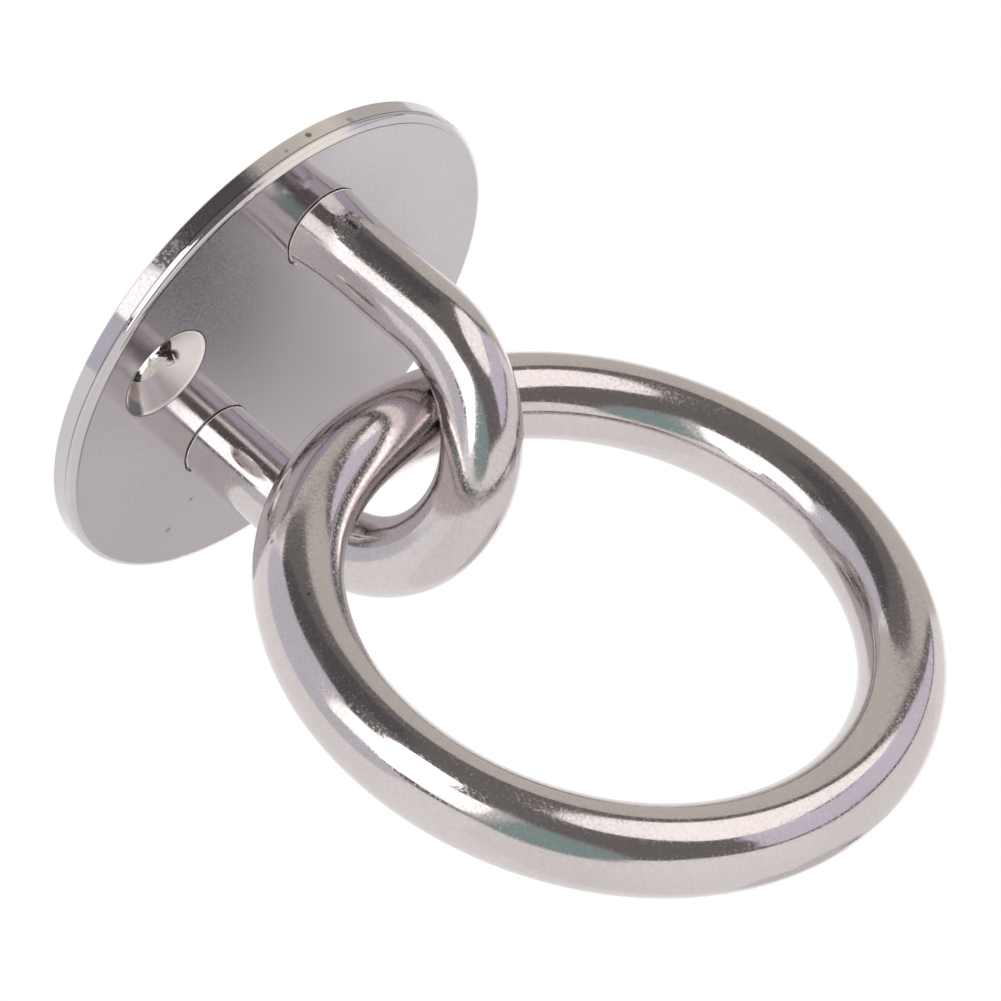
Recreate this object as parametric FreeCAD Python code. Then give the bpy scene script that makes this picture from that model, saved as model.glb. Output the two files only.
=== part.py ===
import FreeCAD
import Part
import math
import os

# Lengths are in millimetres. The plate's back lies on z = 0, against the surface it is
# screwed to, and depths are measured from there along -z, the way the ring hangs.

# Round base plate
plate_radius = 28.0
plate_thickness = 2.7
rim_rounding = 0.85
back_edge_break = 0.2

# Countersunk screw hole, in front of the bail
screw_hole_x = -0.6
screw_hole_from_rim = 10.1
screw_bore_radius = 2.75
countersink_radius = 5.0
countersink_angle = 90.0
countersink_edge_break = 0.12

# Bail: one round rod bent to a U, its legs passed through the plate
rod_radius = 4.05
leg_spacing = 26.3
bail_x = 2.1
bail_y = -3.5
eye_height = 15.2
foot_flare = 0.5
foot_flare_height = 6.5

# Leg holes in the plate and the welds that fill their backs
leg_clearance = 0.03
leg_hole_edge_break = 0.15
weld_width = 1.2
weld_depth = 0.9

# Ring: round wire that runs free through the bail
ring_centreline_radius = 29.5
ring_wire_radius = 4.35
ring_x_from_bail = 2.1
ring_y_from_bail = -2.2
ring_turn = -19.0
ring_clearance = 0.05

# Places and depths that follow from the values above
down = FreeCAD.Vector(0, 0, -1)
screw_hole_y = screw_hole_from_rim - plate_radius
arch_radius = leg_spacing / 2
arch_depth = plate_thickness + eye_height
leg_hole_radius = rod_radius + leg_clearance
weld_radius = rod_radius + weld_width
leg_x = [bail_x + arch_radius, bail_x - arch_radius]
countersink_run = countersink_radius - screw_bore_radius
countersink_reach = countersink_run / math.tan(math.radians(countersink_angle / 2))


def point(x, y, depth):
    return FreeCAD.Vector(x, y, -depth)


def cylinder(x, y, start_depth, end_depth, radius):
    return Part.makeCylinder(radius, end_depth - start_depth, point(x, y, start_depth), down)


def cone(x, y, start_depth, end_depth, start_radius, end_radius):
    length = end_depth - start_depth
    return Part.makeCone(start_radius, end_radius, length, point(x, y, start_depth), down)


# Plate blank: a turned disc with a rounded front rim and a broken back edge
def make_blank():
    inside_corner = rim_rounding * (1 - math.sqrt(0.5))
    back_centre = point(0, 0, 0)
    back_in = point(plate_radius - back_edge_break, 0, 0)
    back_out = point(plate_radius, 0, back_edge_break)
    wall_end = point(plate_radius, 0, plate_thickness - rim_rounding)
    round_middle = point(plate_radius - inside_corner, 0, plate_thickness - inside_corner)
    face_out = point(plate_radius - rim_rounding, 0, plate_thickness)
    face_centre = point(0, 0, plate_thickness)
    edges = [
        Part.makeLine(back_centre, back_in),
        Part.makeLine(back_in, back_out),
        Part.makeLine(back_out, wall_end),
        Part.Arc(wall_end, round_middle, face_out).toShape(),
        Part.makeLine(face_out, face_centre),
        Part.makeLine(face_centre, back_centre),
    ]
    return Part.Face(Part.Wire(edges)).revolve(back_centre, down, 360)


# Screw hole: a straight bore, the countersink, and the countersink's broken edge
def screw_hole_cuts():
    x = screw_hole_x
    y = screw_hole_y
    sink_start = plate_thickness - countersink_reach
    edge_start = plate_thickness - countersink_edge_break
    inner = countersink_radius - countersink_edge_break
    outer = countersink_radius + countersink_edge_break
    return [
        cylinder(x, y, 0, plate_thickness, screw_bore_radius),
        cone(x, y, sink_start, plate_thickness, screw_bore_radius, countersink_radius),
        cone(x, y, edge_start, plate_thickness, inner, outer),
    ]


# Leg hole: a snug bore with a broken edge at the face and a weld recess at the back
def leg_hole_cuts(x):
    edge_start = plate_thickness - leg_hole_edge_break
    edge_radius = leg_hole_radius + leg_hole_edge_break
    return [
        cylinder(x, bail_y, 0, plate_thickness, leg_hole_radius),
        cone(x, bail_y, edge_start, plate_thickness, leg_hole_radius, edge_radius),
        cone(x, bail_y, 0, weld_depth, weld_radius, leg_hole_radius),
    ]


# Base plate: the blank with its screw hole and its two leg holes
def make_base_plate():
    plate = make_blank()
    for cut in screw_hole_cuts() + leg_hole_cuts(leg_x[0]) + leg_hole_cuts(leg_x[1]):
        plate = plate.cut(cut)
    return plate


# Flare at the foot of the first leg: a turned collar that runs smoothly into the rod
def make_foot_flare():
    sweep_radius = (foot_flare ** 2 + foot_flare_height ** 2) / (2 * foot_flare)
    half_turn = math.asin(foot_flare_height / sweep_radius) / 2
    x = leg_x[0]
    end_depth = plate_thickness + foot_flare_height
    middle_x = x + rod_radius + sweep_radius * (1 - math.cos(half_turn))
    axis_start = point(x, bail_y, plate_thickness)
    foot_out = point(x + rod_radius + foot_flare, bail_y, plate_thickness)
    foot_middle = point(middle_x, bail_y, end_depth - sweep_radius * math.sin(half_turn))
    foot_end = point(x + rod_radius, bail_y, end_depth)
    axis_end = point(x, bail_y, end_depth)
    edges = [
        Part.makeLine(axis_start, foot_out),
        Part.Arc(foot_out, foot_middle, foot_end).toShape(),
        Part.makeLine(foot_end, axis_end),
        Part.makeLine(axis_end, axis_start),
    ]
    return Part.Face(Part.Wire(edges)).revolve(axis_start, down, 360)


# Bail: round section swept along leg, half-round arch and leg
def make_bail():
    first_foot = point(leg_x[0], bail_y, weld_depth)
    first_bend = point(leg_x[0], bail_y, arch_depth)
    crown = point(bail_x, bail_y, arch_depth + arch_radius)
    second_bend = point(leg_x[1], bail_y, arch_depth)
    second_foot = point(leg_x[1], bail_y, weld_depth)
    path = Part.Wire([
        Part.makeLine(first_foot, first_bend),
        Part.Arc(first_bend, crown, second_bend).toShape(),
        Part.makeLine(second_bend, second_foot),
    ])
    section = Part.Wire(Part.makeCircle(rod_radius, first_foot, down))
    rod = path.makePipeShell([section], True, False)
    return rod.fuse(make_foot_flare())


# Rear weld: fills the recess behind a leg's end and is ground flush with the back
def make_rear_weld(x):
    return cone(x, bail_y, 0, weld_depth, weld_radius, leg_hole_radius)


# Point on the ring's centreline, at an angle from the ring's level
def ring_point(centre_depth, angle):
    turn = math.radians(ring_turn)
    along = ring_centreline_radius * math.cos(angle)
    x = bail_x + ring_x_from_bail - along * math.sin(turn)
    y = bail_y + ring_y_from_bail + along * math.cos(turn)
    return x, y, centre_depth - ring_centreline_radius * math.sin(angle)


# Smallest gap between the ring's wire and the rod of the bail, near the top of the ring
def ring_gap(centre_depth):
    smallest = plate_radius
    for step in range(301):
        x, y, depth = ring_point(centre_depth, math.radians(30 + step * 0.4))
        past_bend = max(depth - arch_depth, 0)
        across = math.hypot(x - bail_x, past_bend) - arch_radius
        gap = math.hypot(across, y - bail_y) - rod_radius - ring_wire_radius
        smallest = min(smallest, gap)
    return smallest


# Depth of the ring's centre when it hangs in the bail, just clear of the inside of the arch
def hanging_depth():
    nearest = arch_depth + ring_centreline_radius
    farthest = nearest + arch_radius
    for step in range(40):
        middle = (nearest + farthest) / 2
        if ring_gap(middle) > ring_clearance:
            nearest = middle
        else:
            farthest = middle
    return nearest


# Ring: a plain torus hanging in the bail, turned a little from square to it
def make_ring():
    turn = math.radians(ring_turn)
    centre = point(bail_x + ring_x_from_bail, bail_y + ring_y_from_bail, hanging_depth())
    normal = FreeCAD.Vector(math.cos(turn), math.sin(turn), 0)
    return Part.makeTorus(ring_centreline_radius, ring_wire_radius, centre, normal)


os.makedirs("parts", exist_ok=True)

base_plate = make_base_plate()
base_plate.exportStep("parts/base_plate.step")

bail = make_bail()
bail.exportStep("parts/bail.step")

ring = make_ring()
ring.exportStep("parts/ring.step")

rear_weld_1 = make_rear_weld(leg_x[0])
rear_weld_1.exportStep("parts/rear_weld_1.step")

rear_weld_2 = make_rear_weld(leg_x[1])
rear_weld_2.exportStep("parts/rear_weld_2.step")
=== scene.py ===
import math
import random
import bpy
from mathutils import Matrix, Vector


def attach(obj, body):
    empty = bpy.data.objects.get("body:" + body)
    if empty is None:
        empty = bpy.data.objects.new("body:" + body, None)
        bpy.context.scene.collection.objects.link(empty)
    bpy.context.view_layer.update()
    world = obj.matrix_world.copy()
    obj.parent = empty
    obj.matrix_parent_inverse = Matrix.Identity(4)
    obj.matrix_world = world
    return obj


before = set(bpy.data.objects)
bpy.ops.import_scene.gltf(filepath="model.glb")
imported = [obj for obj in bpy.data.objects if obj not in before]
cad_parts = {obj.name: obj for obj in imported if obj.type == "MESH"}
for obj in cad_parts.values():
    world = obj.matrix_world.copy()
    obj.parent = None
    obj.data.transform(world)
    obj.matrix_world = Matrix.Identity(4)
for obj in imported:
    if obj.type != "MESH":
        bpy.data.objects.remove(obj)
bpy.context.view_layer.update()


# Base plate: a round disc turned from stainless plate, with one countersunk screw hole.
# Its face is buffed to a slightly satin mirror, its rim is turned brighter and sharper, and
# the countersink is left as cut. Fine dark lines are painted where the rim and the hole meet the
# face: painted reflections of dark surroundings in those edges. A near-white ring round the
# countersink's edge is a painted highlight, a rougher patch of the rim carries a painted sheen,
# and dark spots in the countersink are painted shade of the dark bore.
hole_x = -0.0006
hole_y = -0.0179
hole_edge = 0.0051
hole_edge_break = 0.0001
rim_edge = 0.02714
rim_shoulder = -0.00185
edge_blur = 0.00004
rim_line_width = 0.00011
shoulder_line_width = 0.00009
hole_line_width = 0.00012
lip_painted_highlight_width = 0.00024
line_wobble = 0.00012
# line_tint paints dark reflection lines along the rim and the hole's edge, and also colours the real rim
# nick and specks.
line_tint = (0.085, 0.080, 0.080, 1)
cut_tint = (0.770, 0.705, 0.690, 1)
# The lip tint paints a highlight round the countersink's edge.
lip_painted_highlight_tint = (0.980, 0.935, 0.930, 1)
# The near-white rim tint paints a sheen on a rougher patch of the rim.
rim_painted_sheen_tint = (0.950, 0.880, 0.815, 1)
rough_sheen_patch = (0.0250, -0.0125, -0.0012)
rough_sheen_patch_radius = 0.0086
rim_nick = (0.02579, -0.0109, -0.00095)
rim_nick_radius = 0.00042
plate_specks = (
    ((0.02738, -0.00588, -0.00143), 0.00050),
    ((-0.01903, -0.00240, -0.0027), 0.00034),
    ((-0.02278, -0.00375, -0.0027), 0.00046),
    ((0.02440, -0.01370, -0.00120), 0.00024),
)
# Dark spots in the countersink: painted shade of the dark bore behind it.
countersink_painted_shade = (
    ((-0.00510, -0.02010, -0.00250), 0.0024, (0.150, 0.136, 0.150, 1)),
    ((-0.00370, -0.01920, -0.00100), 0.0015, (0.400, 0.340, 0.300, 1)),
    ((-0.00042, -0.01525, -0.00085), 0.00105, (0.045, 0.038, 0.038, 1)),
)
grain_scale = 2600.0
smudge_scale = 55.0
pore_scale = 4000.0
plate_grain_depth = 0.00000006


def add_node(tree, kind, settings=None, values=None):
    node = tree.nodes.new(kind)
    for name, value in (settings or {}).items():
        setattr(node, name, value)
    for name, value in (values or {}).items():
        node.inputs[name].default_value = value
    return node


def calc(tree, operation, *given):
    node = add_node(tree, "ShaderNodeMath", {"operation": operation})
    for socket, value in zip(node.inputs, given):
        if isinstance(value, (int, float)):
            socket.default_value = value
        else:
            tree.links.new(value, socket)
    return node.outputs[0]


def ramp(tree, value, zero_at, one_at):
    node = add_node(tree, "ShaderNodeMapRange", {"interpolation_type": "SMOOTHSTEP"})
    tree.links.new(value, node.inputs["Value"])
    node.inputs["From Min"].default_value = zero_at
    node.inputs["From Max"].default_value = one_at
    return node.outputs["Result"]


def noise(tree, place, scale, detail=2.0):
    node = add_node(tree, "ShaderNodeTexNoise", values={"Scale": scale, "Detail": detail})
    tree.links.new(place, node.inputs["Vector"])
    return node.outputs["Fac"]


def line_at(tree, value, centre, half_width):
    off = calc(tree, "ABSOLUTE", calc(tree, "SUBTRACT", value, centre))
    return ramp(tree, off, half_width, half_width * 0.3)


def spot_at(tree, place, centre, radius, ragged):
    away = add_node(tree, "ShaderNodeVectorMath", {"operation": "DISTANCE"})
    tree.links.new(place, away.inputs[0])
    away.inputs[1].default_value = centre
    torn = noise(tree, place, 1.6 / radius, 3.0)
    rough_edge = calc(tree, "MULTIPLY_ADD", torn, ragged, -ragged / 2)
    return ramp(tree, calc(tree, "ADD", away.outputs["Value"], rough_edge), radius, radius * 0.5)


def axis_distance(tree, x, y):
    return calc(tree, "SQRT", calc(tree, "MULTIPLY_ADD", x, x, calc(tree, "MULTIPLY", y, y)))


def mixed(tree, share, first, second, kind="FLOAT"):
    node = add_node(tree, "ShaderNodeMix", {"data_type": kind})
    sockets = [s for s in node.inputs if s.enabled]
    for socket, value in zip(sockets, (share, first, second)):
        if isinstance(value, (int, float, tuple)):
            socket.default_value = value
        else:
            tree.links.new(value, socket)
    return [s for s in node.outputs if s.enabled][0]


def start_group(name, inputs):
    tree = bpy.data.node_groups.new(name, "ShaderNodeTree")
    for socket, kind, value in inputs:
        made = tree.interface.new_socket(socket, in_out="INPUT", socket_type=kind)
        if value is not None:
            made.default_value = value
    tree.interface.new_socket("Tint", in_out="OUTPUT", socket_type="NodeSocketColor")
    tree.interface.new_socket("Roughness", in_out="OUTPUT", socket_type="NodeSocketFloat")
    tree.interface.new_socket("Height", in_out="OUTPUT", socket_type="NodeSocketFloat")
    return tree, tree.nodes.new("NodeGroupInput").outputs, tree.nodes.new("NodeGroupOutput").inputs


def buffed_steel_group():
    """Buffing grain, open pores and slow smudges of polished steel, from a place in metres."""
    tree, given, made = start_group("buffed_steel", [
        ("Place", "NodeSocketVector", None),
        ("Light Tint", "NodeSocketColor", (0.6, 0.6, 0.6, 1)),
        ("Dark Tint", "NodeSocketColor", (0.5, 0.5, 0.5, 1)),
        ("Lowest Roughness", "NodeSocketFloat", 0.1),
        ("Highest Roughness", "NodeSocketFloat", 0.16),
        ("Pore Roughness", "NodeSocketFloat", 0.3),
        ("Wave Share", "NodeSocketFloat", 6.0),
    ])
    place = given["Place"]
    grain = noise(tree, place, grain_scale, 3.0)
    smudge = noise(tree, place, smudge_scale, 4.0)
    pores = ramp(tree, noise(tree, place, pore_scale, 1.0), 0.42, 0.82)
    cloud = calc(tree, "MULTIPLY_ADD", grain, 0.5, calc(tree, "MULTIPLY", smudge, 0.5))
    share = ramp(tree, cloud, 0.35, 0.65)
    rough = mixed(tree, share, given["Highest Roughness"], given["Lowest Roughness"])
    tree.links.new(mixed(tree, share, given["Dark Tint"], given["Light Tint"], "RGBA"), made["Tint"])
    tree.links.new(calc(tree, "MULTIPLY_ADD", pores, given["Pore Roughness"], rough), made["Roughness"])
    tree.links.new(calc(tree, "MULTIPLY_ADD", smudge, given["Wave Share"], grain), made["Height"])
    return tree


buffed_steel = buffed_steel_group()


def buffed(tree, place, values):
    node = tree.nodes.new("ShaderNodeGroup")
    node.node_tree = buffed_steel
    tree.links.new(place, node.inputs["Place"])
    for socket, value in values.items():
        node.inputs[socket].default_value = value
    return node.outputs["Tint"], node.outputs["Roughness"], node.outputs["Height"]


def plate_group():
    """The plate's finish: a satin face, a bright rim with a rougher patch under a painted sheen, and the
    countersink as cut, with painted dark reflection lines, a painted highlight and painted shade.
    """
    tree, given, made = start_group("turned_plate", [("Place", "NodeSocketVector", None)])
    place = given["Place"]
    face_tint, face_rough, height = buffed(tree, place, {
        "Light Tint": (0.600, 0.565, 0.585, 1),
        "Dark Tint": (0.560, 0.525, 0.545, 1),
        "Lowest Roughness": 0.11,
        "Highest Roughness": 0.15,
        "Pore Roughness": 0.02,
        "Wave Share": 1.0,
    })
    axes = add_node(tree, "ShaderNodeSeparateXYZ")
    tree.links.new(place, axes.inputs[0])
    x, y, z = axes.outputs
    radius = axis_distance(tree, x, y)
    hole_radius = axis_distance(tree, calc(tree, "SUBTRACT", x, hole_x), calc(tree, "SUBTRACT", y, hole_y))
    rim = ramp(tree, radius, rim_edge - edge_blur, rim_edge + edge_blur)
    sink = ramp(tree, hole_radius, hole_edge + edge_blur, hole_edge - edge_blur)

    # The rim's two dark lines are painted reflections of dark surroundings in its edge, and show only on
    # its +X -Y side.
    wobble = calc(tree, "MULTIPLY_ADD", noise(tree, place, 180.0), line_wobble, -line_wobble / 2)
    towards_dark_line_side = calc(tree, "MULTIPLY_ADD", x, 0.64, calc(tree, "MULTIPLY", y, -0.77))
    dark_line_side = ramp(tree, towards_dark_line_side, 0.004, 0.018)
    rim_line = line_at(tree, calc(tree, "ADD", radius, wobble), rim_edge, rim_line_width)
    rim_line = calc(tree, "MULTIPLY", rim_line, dark_line_side)
    shoulder = line_at(tree, calc(tree, "ADD", z, wobble), rim_shoulder, shoulder_line_width)
    shoulder = calc(tree, "MULTIPLY", calc(tree, "MULTIPLY", shoulder, rim), dark_line_side)
    # The hole's dark line is a painted reflection of dark surroundings in its edge break.
    from_hole = calc(tree, "ADD", hole_radius, wobble)
    hole_line = line_at(tree, from_hole, hole_edge + hole_edge_break, hole_line_width)
    marks = spot_at(tree, place, rim_nick, rim_nick_radius, 0.0003)
    for centre, size in plate_specks:
        speck = calc(tree, "MULTIPLY", spot_at(tree, place, centre, size, 0.0003), 0.55)
        marks = calc(tree, "MAXIMUM", marks, speck)
    rim_lines = calc(tree, "MAXIMUM", rim_line, shoulder)
    dark = calc(tree, "MAXIMUM", rim_lines, calc(tree, "MAXIMUM", hole_line, marks))

    pores = ramp(tree, noise(tree, place, 3600.0, 1.0), 0.42, 0.82)
    rough_sheen = spot_at(tree, place, rough_sheen_patch, rough_sheen_patch_radius, 0.003)
    rim_rough = calc(tree, "MULTIPLY_ADD", pores, 0.16, 0.05)
    rim_rough = calc(tree, "MULTIPLY_ADD", rough_sheen, 0.46, rim_rough)
    # A near-white ring at the countersink's edge is a painted highlight; the edge is rougher there as
    # well.
    lip = line_at(tree, hole_radius, hole_edge - hole_edge_break, lip_painted_highlight_width)
    sink_rough = calc(tree, "MULTIPLY_ADD", noise(tree, place, 900.0), 0.14, 0.34)
    sink_rough = mixed(tree, lip, sink_rough, 0.45)
    rough = mixed(tree, sink, mixed(tree, rim, face_rough, rim_rough), sink_rough)

    sink_tint = mixed(tree, lip, cut_tint, lip_painted_highlight_tint, "RGBA")
    # Dark spots on the countersink are painted shade of the dark bore behind it.
    for centre, size, bore_shade_tint in countersink_painted_shade:
        bore_shade = spot_at(tree, place, centre, size, size * 0.5)
        sink_tint = mixed(tree, bore_shade, sink_tint, bore_shade_tint, "RGBA")
    # The rougher rim patch gets a near-white tint, a painted sheen.
    tint = mixed(tree, calc(tree, "MULTIPLY", rough_sheen, rim), face_tint, rim_painted_sheen_tint, "RGBA")
    tint = mixed(tree, sink, tint, sink_tint, "RGBA")
    # The dark tint paints the reflection lines of rim and hole, and colours the real nick and specks.
    tint = mixed(tree, calc(tree, "MULTIPLY", dark, 0.75), tint, line_tint, "RGBA")
    tree.links.new(tint, made["Tint"])
    tree.links.new(rough, made["Roughness"])
    tree.links.new(height, made["Height"])
    return tree


def steel_material(name, group, grain_depth):
    material = bpy.data.materials.new(name)
    material.use_nodes = True
    tree = material.node_tree
    shader = tree.nodes["Principled BSDF"]
    shader.inputs["Metallic"].default_value = 1.0
    place = tree.nodes.new("ShaderNodeTexCoord")
    steel = tree.nodes.new("ShaderNodeGroup")
    steel.node_tree = group
    relief = add_node(tree, "ShaderNodeBump", values={"Distance": grain_depth})
    tree.links.new(place.outputs["Object"], steel.inputs["Place"])
    tree.links.new(steel.outputs["Tint"], shader.inputs["Base Color"])
    tree.links.new(steel.outputs["Roughness"], shader.inputs["Roughness"])
    tree.links.new(steel.outputs["Height"], relief.inputs["Height"])
    tree.links.new(relief.outputs["Normal"], shader.inputs["Normal"])
    return material


plate_steel = steel_material("plate_steel", plate_group(), plate_grain_depth)
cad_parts["base_plate"].data.materials[0] = plate_steel


# Bore lips: drilling has torn the screw hole's edge. Two dark ragged lips and a longer bright
# one, thin as foil, stand in from the bore's wall. The dark lips' colour is painted shade of the
# dark bore behind them, and the bright lip's near-white colour is a painted highlight.
bore_radius = 0.00275
bore_wall_gap = 0.00002
bore_away = (-0.512, 0.859)
lip_root = -0.00040
lip_rise = 0.00028
lip_crumple = 0.00016
lip_fullness = 0.6
lip_columns = 26
lip_rows = 6


def matt_material(name, light, dark, roughness, metal=1.0):
    material = bpy.data.materials.new(name)
    material.use_nodes = True
    tree = material.node_tree
    shader = tree.nodes["Principled BSDF"]
    shader.inputs["Metallic"].default_value = metal
    shader.inputs["Roughness"].default_value = roughness
    place = tree.nodes.new("ShaderNodeTexCoord").outputs["Object"]
    share = ramp(tree, noise(tree, place, 1700.0, 3.0), 0.38, 0.62)
    tree.links.new(mixed(tree, share, dark, light, "RGBA"), shader.inputs["Base Color"])
    return material


def add_piece(name, vertices, faces, material, body):
    mesh = bpy.data.meshes.new(name)
    mesh.from_pydata(vertices, [], faces)
    mesh.polygons.foreach_set("use_smooth", [True] * len(mesh.polygons))
    mesh.materials.append(material)
    piece = bpy.data.objects.new(name, mesh)
    bpy.context.scene.collection.objects.link(piece)
    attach(piece, body)
    return piece


def in_hole(along, side, height):
    """A point measured from the screw hole's axis, along bore_away and to its side."""
    ax, ay = bore_away
    return (hole_x + along * ax + side * ay, hole_y + along * ay - side * ax, height)


def torn_lip(name, start, end, reach, seed, material):
    """A flap that follows the bore's wall between two angles and stands inward to a torn edge."""
    chance = random.Random(seed)
    vertices = []
    for i in range(lip_columns + 1):
        share = i / lip_columns
        turn = math.radians(start + (end - start) * share)
        inward = reach * math.sin(math.pi * share) ** lip_fullness * (0.72 + 0.5 * chance.random())
        for j in range(lip_rows + 1):
            t = j / lip_rows
            r = bore_radius - bore_wall_gap - inward * t
            lift = lip_crumple * chance.random() * t
            height = lip_root + lip_rise * t - lift
            vertices.append(in_hole(r * math.cos(turn), r * math.sin(turn), height))
    faces = []
    for i in range(lip_columns):
        for j in range(lip_rows):
            a = i * (lip_rows + 1) + j
            faces.append((a, a + 1, a + lip_rows + 2, a + lip_rows + 1))
    return add_piece(name, vertices, faces, material, "anchor")


# Near-black tint: painted shade of the bore.
bore_painted_shade = matt_material("bore_painted_shade", (0.150, 0.125, 0.115, 1), (0.040, 0.034, 0.033, 1), 0.55)
torn_lip("bore_lip_1", 14, 100, 0.00165, 3, bore_painted_shade)
torn_lip("bore_lip_2", -104, -50, 0.00110, 8, bore_painted_shade)
# Near-white tint at low metalness: a painted highlight on the pieces that carry it.
painted_highlight_steel = matt_material("painted_highlight_steel", (0.960, 0.890, 0.840, 1), (0.800, 0.730, 0.680, 1), 0.38, 0.3)
torn_lip("bore_lip_3", -56, 34, 0.00300, 5, painted_highlight_steel)


# Swarf curl: a sliver of the plate's steel that the drill has left behind, coloured near white as a
# painted highlight. It is bent up like a small worm and clings to the countersink's wall where the
# bright lip ends.
curl_bends = ((8, -0.70), (13, -0.95), (19, -1.12), (25, -1.16), (30, -1.04), (34, -0.84), (40, -0.70))
curl_radii = [0.00004, 0.00011, 0.00014, 0.00012, 0.00014, 0.00010, 0.00004]
curl_inset_mm = 0.11
countersink_at_back_mm = 2.3
tube_sides = 8


def tube_along(name, centres, radii, closed, material, body):
    """A round tube through the centres; each centre has its own radius."""
    vertices = []
    count = len(centres)
    for i, (centre, radius) in enumerate(zip(centres, radii)):
        before = Vector(centres[i - 1] if closed or i else centres[0])
        after = Vector(centres[(i + 1) % count] if closed or i < count - 1 else centres[-1])
        ahead = (after - before).normalized()
        across = ahead.cross(Vector((0, 0, 1))).normalized()
        over = across.cross(ahead)
        for k in range(tube_sides):
            turn = 2 * math.pi * k / tube_sides
            spoke = across * math.cos(turn) + over * math.sin(turn)
            vertices.append(tuple(Vector(centre) + radius * spoke))
    faces = []
    for i in range(count if closed else count - 1):
        a = i * tube_sides
        b = (i + 1) % count * tube_sides
        for k in range(tube_sides):
            after_k = (k + 1) % tube_sides
            faces.append((a + k, a + after_k, b + after_k, b + k))
    if not closed:
        last = (count - 1) * tube_sides
        faces += [tuple(range(tube_sides))[::-1], tuple(range(last, last + tube_sides))]
    return add_piece(name, vertices, faces, material, body)


# Each bend is an angle in degrees and a height in millimetres. The countersink is at 90
# degrees, so its wall comes in as much as it rises, and would meet the back at 2.3 mm.
curl = []
for angle, height_mm in curl_bends:
    r = (countersink_at_back_mm - height_mm - curl_inset_mm) / 1000
    turn = math.radians(angle)
    curl.append(in_hole(r * math.cos(turn), r * math.sin(turn), height_mm / 1000))
tube_along("swarf_curl", curl, curl_radii, False, painted_highlight_steel, "anchor")


# Bail: one rod of polished stainless bent to a U, its legs set through the plate. It was
# buffed after bending, so its mirror is deep but finely pitted. A grinding slip has left a
# rough patch on the first leg, just above the flare of its foot.
slip_patch = (0.0186, -0.0058, -0.0064)
slip_radius = 0.0019
slip_tint = (0.16, 0.15, 0.15, 1)
slip_depth_share = 60.0
rod_grain_depth = 0.0000016


def rod_group():
    tree, given, made = start_group("polished_rod", [("Place", "NodeSocketVector", None)])
    place = given["Place"]
    tint, rough, height = buffed(tree, place, {
        "Light Tint": (0.650, 0.600, 0.595, 1),
        "Dark Tint": (0.575, 0.530, 0.528, 1),
        "Lowest Roughness": 0.07,
        "Highest Roughness": 0.12,
        "Pore Roughness": 0.19,
        "Wave Share": 12.0,
    })
    slip = spot_at(tree, place, slip_patch, slip_radius, 0.0016)
    scar = noise(tree, place, 1500.0, 2.0)
    dark_scar = calc(tree, "MULTIPLY", slip, ramp(tree, scar, 0.52, 0.60))
    tree.links.new(mixed(tree, dark_scar, tint, slip_tint, "RGBA"), made["Tint"])
    tree.links.new(calc(tree, "MULTIPLY_ADD", slip, 0.10, rough), made["Roughness"])
    raised = calc(tree, "MULTIPLY", calc(tree, "MULTIPLY", slip, scar), slip_depth_share)
    tree.links.new(calc(tree, "ADD", height, raised), made["Height"])
    return tree


rod_steel = steel_material("rod_steel", rod_group(), rod_grain_depth)
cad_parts["bail"].data.materials[0] = rod_steel


# Foot seams: where each leg leaves the plate, a thin dark tube round it is painted shade of the
# gap there, and a fine bead pressed up beside it is coloured near white as a painted highlight.
# Both swell to a nub on the leg's -X side.
legs_apart = 0.0263
bail_x = 0.0021
bail_y = -0.0035
plate_face = -0.0027
flared_foot_radius = 0.00455
plain_foot_radius = 0.00405
seam_steps = 96
nub_angle = math.radians(-148)
nub_spread = 0.012
gap_offset = 0.00003
gap_thickness = 0.000018
gap_unevenness = 0.000016
gap_nub = 0.00024
bead_offset = 0.00016
bead_thickness = 0.00004
bead_unevenness = 0.00002
bead_nub = 0.00007
# Dark tint: painted shade of the seam gap.
seam_painted_shade = matt_material("seam_painted_shade", (0.200, 0.175, 0.165, 1), (0.070, 0.062, 0.060, 1), 0.6)


def round_leg(leg_x, radius, turn, drop):
    return (leg_x + radius * math.cos(turn), bail_y + radius * math.sin(turn), plate_face - drop)


for number, side, foot_radius in ((1, 1, flared_foot_radius), (2, -1, plain_foot_radius)):
    chance = random.Random(number)
    leg_x = bail_x + side * legs_apart / 2
    gap_path = []
    gap_radii = []
    bead_path = []
    bead_radii = []
    for step in range(seam_steps):
        turn = 2 * math.pi * step / seam_steps
        nub = math.exp(-((math.cos(turn - nub_angle) - 1) / nub_spread) ** 2)
        gap_path.append(round_leg(leg_x, foot_radius + gap_offset, turn, gap_offset))
        gap_radii.append(gap_thickness + gap_unevenness * chance.random() + gap_nub * nub)
        bead_path.append(round_leg(leg_x, foot_radius, turn, bead_offset))
        bead_radii.append(bead_thickness + bead_unevenness * chance.random() + bead_nub * nub)
    tube_along(f"foot_gap_shade_{number}", gap_path, gap_radii, True, seam_painted_shade, "anchor")
    tube_along(f"foot_bead_{number}", bead_path, bead_radii, True, painted_highlight_steel, "anchor")


# Rear welds: the leg ends are welded into recesses in the back and ground off flush.
# Grinding leaves them duller than the buffed front.
weld_grain_depth = 0.00002


def weld_group():
    tree, given, made = start_group("ground_weld", [("Place", "NodeSocketVector", None)])
    tint, rough, height = buffed(tree, given["Place"], {
        "Light Tint": (0.500, 0.480, 0.460, 1),
        "Dark Tint": (0.360, 0.340, 0.330, 1),
        "Lowest Roughness": 0.32,
        "Highest Roughness": 0.46,
        "Pore Roughness": 0.1,
        "Wave Share": 6.0,
    })
    tree.links.new(tint, made["Tint"])
    tree.links.new(rough, made["Roughness"])
    tree.links.new(height, made["Height"])
    return tree


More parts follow.
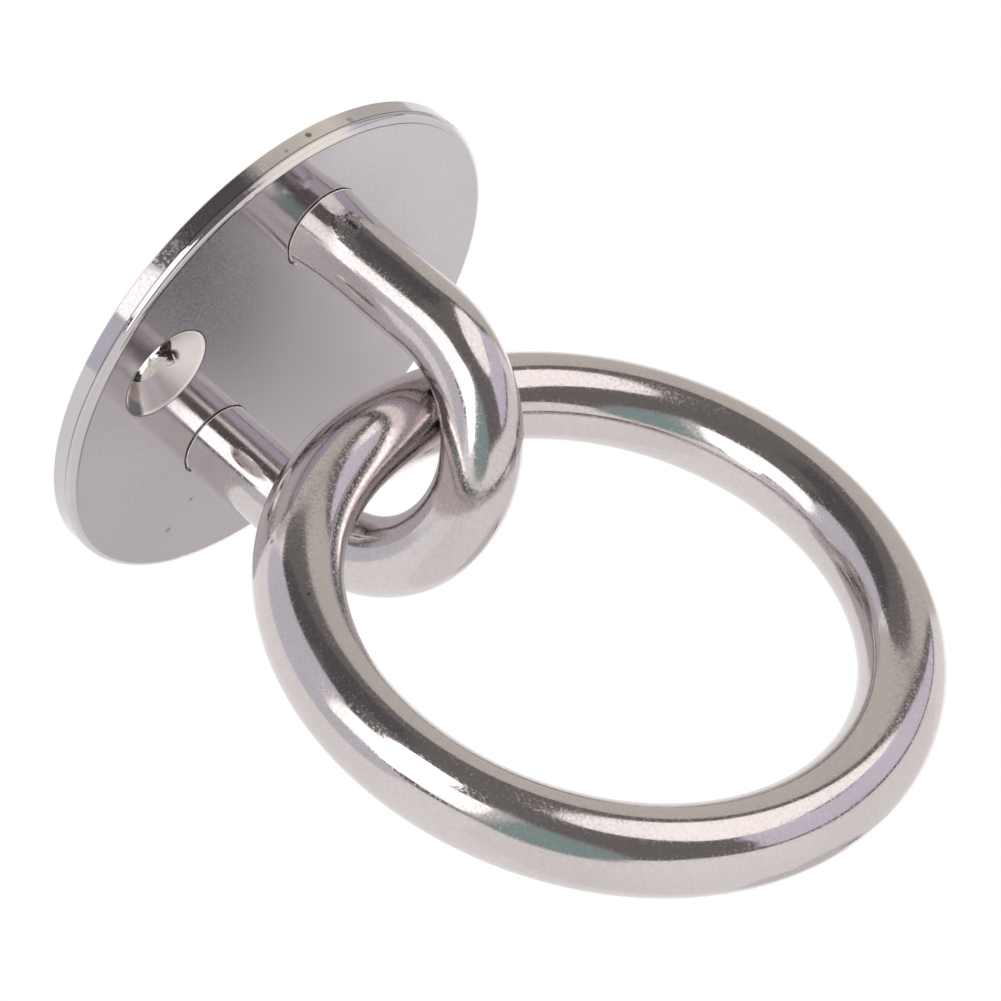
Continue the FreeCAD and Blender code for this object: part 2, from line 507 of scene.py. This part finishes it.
weld_steel = steel_material("weld_steel", weld_group(), weld_grain_depth)
for weld in ("rear_weld_1", "rear_weld_2"):
    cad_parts[weld].data.materials[0] = weld_steel


# Ring: round stainless wire closed to a ring and buffed all round, with no seam showing.
# It hangs loose in the bail and carries the same fine pits, and two small nicks.
upper_nick = (-0.00040, -0.02848, -0.02737)
upper_nick_radius = 0.00032
lower_nick = (-0.00013, -0.03152, -0.03499)
lower_nick_radius = 0.00028
nick_tint = (0.12, 0.11, 0.11, 1)
ring_grain_depth = 0.0000014


def ring_group():
    tree, given, made = start_group("polished_ring", [("Place", "NodeSocketVector", None)])
    place = given["Place"]
    tint, rough, height = buffed(tree, place, {
        "Light Tint": (0.655, 0.602, 0.597, 1),
        "Dark Tint": (0.595, 0.547, 0.543, 1),
        "Lowest Roughness": 0.06,
        "Highest Roughness": 0.11,
        "Pore Roughness": 0.19,
        "Wave Share": 12.0,
    })
    upper = spot_at(tree, place, upper_nick, upper_nick_radius, 0.0002)
    lower = spot_at(tree, place, lower_nick, lower_nick_radius, 0.0002)
    shade = calc(tree, "MULTIPLY", calc(tree, "MAXIMUM", upper, lower), 0.6)
    tree.links.new(mixed(tree, shade, tint, nick_tint, "RGBA"), made["Tint"])
    tree.links.new(rough, made["Roughness"])
    tree.links.new(height, made["Height"])
    return tree


ring_steel = steel_material("ring_steel", ring_group(), ring_grain_depth)
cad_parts["ring"].data.materials[0] = ring_steel


# Floor: a sheet of plain pale paper, level and well below the hanging part.
# It is matt and catches what shadow the part throws.
floor_level = -0.95
floor_half_width = 3.0
floor_corners = [
    (-floor_half_width, -floor_half_width, floor_level),
    (floor_half_width, -floor_half_width, floor_level),
    (floor_half_width, floor_half_width, floor_level),
    (-floor_half_width, floor_half_width, floor_level),
]
floor_mesh = bpy.data.meshes.new("floor")
floor_mesh.from_pydata(floor_corners, [], [(0, 1, 2, 3)])
floor = bpy.data.objects.new("floor", floor_mesh)
bpy.context.scene.collection.objects.link(floor)
floor_paper = bpy.data.materials.new("floor_paper")
floor_paper.use_nodes = True
paper_shader = floor_paper.node_tree.nodes["Principled BSDF"]
paper_shader.inputs["Base Color"].default_value = (0.93, 0.925, 0.92, 1)
paper_shader.inputs["Roughness"].default_value = 0.9
floor_mesh.materials.append(floor_paper)


# Backdrop: the plain white room round the part, the same behind it and in its mirror.
# It is white at strength 1 and lights matt surfaces at that level.
studio = bpy.data.worlds.new("studio")
studio.use_nodes = True
room = studio.node_tree.nodes["Background"]
room.inputs["Color"].default_value = (1, 1, 1, 1)
room.inputs["Strength"].default_value = 1.0
bpy.context.scene.world = studio


# Studio cards: boards and soft boxes round the part, which only the mirror of the steel shows.
# Each is an outline on a round wall about the part's middle, in degrees of azimuth, from +Y
# towards +X, and of elevation. The lit ones have colours above 1.
middle = Vector((0.0042, -0.0057, -0.0504))
steps_per_side = 6
inner_rings = 4
fade_rings = 5


def on_wall(azimuth, elevation, distance):
    a = math.radians(azimuth)
    e = math.radians(elevation)
    return middle + distance * Vector((math.sin(a) * math.cos(e), math.cos(a) * math.cos(e), math.sin(e)))


def rounded_outline(corners):
    """A closed curve that passes through every corner and rounds it off."""
    points = []
    count = len(corners)
    for i in range(count):
        p0, p1, p2, p3 = (Vector(corners[(i + k) % count]) for k in (-1, 0, 1, 2))
        for step in range(steps_per_side):
            t = step / steps_per_side
            points.append(0.5 * (
                2 * p1 + (p2 - p0) * t
                + (2 * p0 - 5 * p1 + 4 * p2 - p3) * t * t
                + (3 * p1 - p0 - 3 * p2 + p3) * t ** 3
            ))
    return points


def card_material(name, colour):
    board = bpy.data.materials.new(name)
    board.use_nodes = True
    tree = board.node_tree
    tree.nodes.remove(tree.nodes["Principled BSDF"])
    glow = add_node(tree, "ShaderNodeEmission", values={"Color": (*colour, 1), "Strength": 1.0})
    clear = tree.nodes.new("ShaderNodeBsdfTransparent")
    thin = add_node(tree, "ShaderNodeAttribute", {"attribute_name": "cover"})
    both = tree.nodes.new("ShaderNodeMixShader")
    tree.links.new(thin.outputs["Fac"], both.inputs["Fac"])
    tree.links.new(clear.outputs[0], both.inputs[1])
    tree.links.new(glow.outputs[0], both.inputs[2])
    tree.links.new(both.outputs[0], tree.nodes["Material Output"].inputs["Surface"])
    return board


def studio_card(name, corners, distance, colour, fade):
    """A board with a rounded outline; fade is the share of its size over which its edge thins out."""
    outline = rounded_outline(corners)
    centre = sum(outline, Vector((0, 0))) / len(outline)
    inside = 1.0 - fade / 2
    sizes = [inside * k / inner_rings for k in range(1, inner_rings + 1)]
    covers = [1.0] * inner_rings
    for k in range(1, fade_rings + 1):
        share = k / fade_rings
        sizes.append(inside + fade * share)
        covers.append(1.0 - share * share * (3 - 2 * share))
    vertices = [on_wall(centre.x, centre.y, distance)]
    cover_values = [1.0]
    for size, cover in zip(sizes, covers):
        for p in outline:
            q = centre + (p - centre) * size
            vertices.append(on_wall(q.x, q.y, distance))
            cover_values.append(cover)
    n = len(outline)
    faces = [(0, 1 + i, 1 + (i + 1) % n) for i in range(n)]
    for k in range(len(sizes) - 1):
        a = 1 + k * n
        b = a + n
        faces += [(a + i, b + i, b + (i + 1) % n, a + (i + 1) % n) for i in range(n)]
    mesh = bpy.data.meshes.new(name)
    mesh.from_pydata(vertices, [], faces)
    mesh.attributes.new("cover", "FLOAT", "POINT").data.foreach_set("value", cover_values)
    mesh.materials.append(card_material(name, colour))
    card = bpy.data.objects.new(name, mesh)
    bpy.context.scene.collection.objects.link(card)
    card.visible_camera = False
    card.visible_diffuse = False
    card.visible_shadow = False
    card.visible_transmission = False
    card.visible_volume_scatter = False


studio_card("dark_opening", [
    (32, 2), (38, -18), (46, -36), (58, -52), (78, -61), (100, -64), (130, -62), (150, -58),
    (166, -50), (178, -35), (183, -15), (187, 5), (192, 30), (192, 55), (150, 70), (110, 62),
    (80, 55), (60, 40), (50, 20),
], distance=0.95, colour=(0.19, 0.18, 0.178), fade=0.015)
studio_card("darkest_corner", [
    (88, 22), (94, 38), (100, 54), (108, 61), (120, 56), (136, 42), (146, 27), (120, 18), (98, 20),
], distance=0.94, colour=(0.115, 0.110, 0.115), fade=0.15)
studio_card("lilac_ceiling", [
    (112, 62), (124, 52), (134, 40), (144, 31), (158, 31), (176, 28), (183, 12), (191, 6), (208, 22),
    (212, 60), (210, 80), (160, 84), (120, 80),
], distance=0.93, colour=(0.715, 0.705, 0.780), fade=0.03)
studio_card("grey_side", [
    (8, 2), (30, 1), (52, 5), (62, 12), (69, 22), (76, 37), (84, 52), (96, 63), (104, 76), (60, 84),
    (0, 80), (-2, 45), (12, 32), (12, 12),
], distance=0.92, colour=(0.67, 0.65, 0.60), fade=0.03)
studio_card("lilac_side", [
    (35, -2), (50, -1), (62, 2), (66, -8), (75, -20), (90, -27), (94, -36), (92, -48), (91, -58),
    (76, -57), (61, -48), (50, -34), (40, -16),
], distance=0.91, colour=(0.790, 0.770, 0.890), fade=0.02)
studio_card("upper_panel", [
    (70, 11), (80, 12), (90, 8), (98, 4), (106, -1), (111, -7), (111, -15), (106, -23), (97, -29),
    (84, -26), (74, -16), (63, -2), (64, 5),
], distance=0.90, colour=(1.44, 1.40, 1.37), fade=0.06)
studio_card("rear_panel", [
    (326, 20), (342, 24), (358, 20), (362, 5), (356, -8), (342, -13), (328, -12), (322, 3),
], distance=0.90, colour=(1.30, 1.30, 1.30), fade=0.4)
studio_card("far_wall", [
    (312, -14), (322, -13), (331, -18), (333, -26), (334, -36), (326, -44), (314, -40), (308, -26),
], distance=0.90, colour=(0.72, 0.695, 0.715), fade=0.3)
studio_card("far_stand", [
    (328.6, -24.2), (330.2, -23.7), (332.0, -24.8), (333, -27), (331, -31), (328.8, -29),
], distance=0.89, colour=(0.04, 0.036, 0.036), fade=0.5)
studio_card("grey_haze", [
    (146, -10), (160, -9), (178, -10), (187, -22), (187, -40), (178, -52), (160, -53), (148, -42),
    (143, -26),
], distance=0.385, colour=(0.34, 0.355, 0.355), fade=0.3)
studio_card("teal_patch", [
    (147, -17), (160, -15), (178, -16), (186, -30), (182, -44), (164, -48), (150, -38),
], distance=0.38, colour=(0.30, 0.42, 0.41), fade=0.6)
studio_card("left_panel_glow", [
    (142, -8), (160, -8), (180, -8), (181, -14), (176, -18), (160, -18), (144, -16),
], distance=0.375, colour=(0.62, 0.62, 0.62), fade=0.5)
studio_card("left_panel", [
    (145, 10), (147, 20), (150, 29), (156, 32), (164, 34), (173, 35), (183, 34), (181, 28),
    (179, 18), (179, 4), (179, -6), (177, -11), (168, -13), (156, -12), (147, -10), (144, -7), (146, 2),
], distance=0.37, colour=(1.80, 1.79, 1.77), fade=0.04)


# Leg card: a small bright board close to the part, in line with the left panel. The plate's
# mirror shows it lower than that panel, and so it gives the second leg its white stripe.
studio_card("leg_card", [
    (144, -2), (152, -3), (162, -3), (171, -3), (178, -2), (183, 2), (185, 7), (183, 12), (175, 14),
    (160, 14), (147, 13), (142, 8), (142, 2),
], distance=0.088, colour=(3.6, 3.58, 3.54), fade=0.04)


# Lamps: two soft boxes that light matt surfaces, one from the left panel's direction and one
# from the upper panel's. The cards stand for them in the mirror.
lamp_distance = 0.88
for name, azimuth, elevation, width, height, power in (
    ("left_lamp", 157, 5, 0.7, 0.5, 1.5),
    ("upper_lamp", 86, -4, 0.6, 0.6, 1.0),
):
    lamp = bpy.data.lights.new(name, "AREA")
    lamp.shape = "RECTANGLE"
    lamp.size = width
    lamp.size_y = height
    lamp.energy = power
    soft_box = bpy.data.objects.new(name, lamp)
    bpy.context.scene.collection.objects.link(soft_box)
    soft_box.location = on_wall(azimuth, elevation, lamp_distance)
    soft_box.rotation_mode = "QUATERNION"
    soft_box.rotation_quaternion = (middle - soft_box.location).to_track_quat("-Z", "Y")
    soft_box.visible_glossy = False
    soft_box.visible_camera = False


# Camera: a long lens about half a metre away that looks up at the hanging part, from in front
# and to its right. It is rolled well over, so the plate stands at the picture's upper left.
photo_width = 1001
focal_in_pixels = 5000
camera_place = Vector((0.222213, -0.391358, -0.224103))
camera_right = Vector((0.42511, 0.57896, -0.69576)).normalized()
camera_up = Vector((0.78575, 0.14551, 0.60118)).normalized()
camera_back = camera_right.cross(camera_up).normalized()
camera_up = camera_back.cross(camera_right)
lens = bpy.data.cameras.new("camera")
lens.sensor_width = 36.0
lens.lens = lens.sensor_width * focal_in_pixels / photo_width
lens.clip_start = 0.05
lens.clip_end = 20.0
camera = bpy.data.objects.new("camera", lens)
bpy.context.scene.collection.objects.link(camera)
camera.matrix_world = Matrix((
    (camera_right.x, camera_up.x, camera_back.x, camera_place.x),
    (camera_right.y, camera_up.y, camera_back.y, camera_place.y),
    (camera_right.z, camera_up.z, camera_back.z, camera_place.z),
    (0, 0, 0, 1),
))
bpy.context.scene.camera = camera
bpy.context.scene.view_settings.view_transform = "Standard"
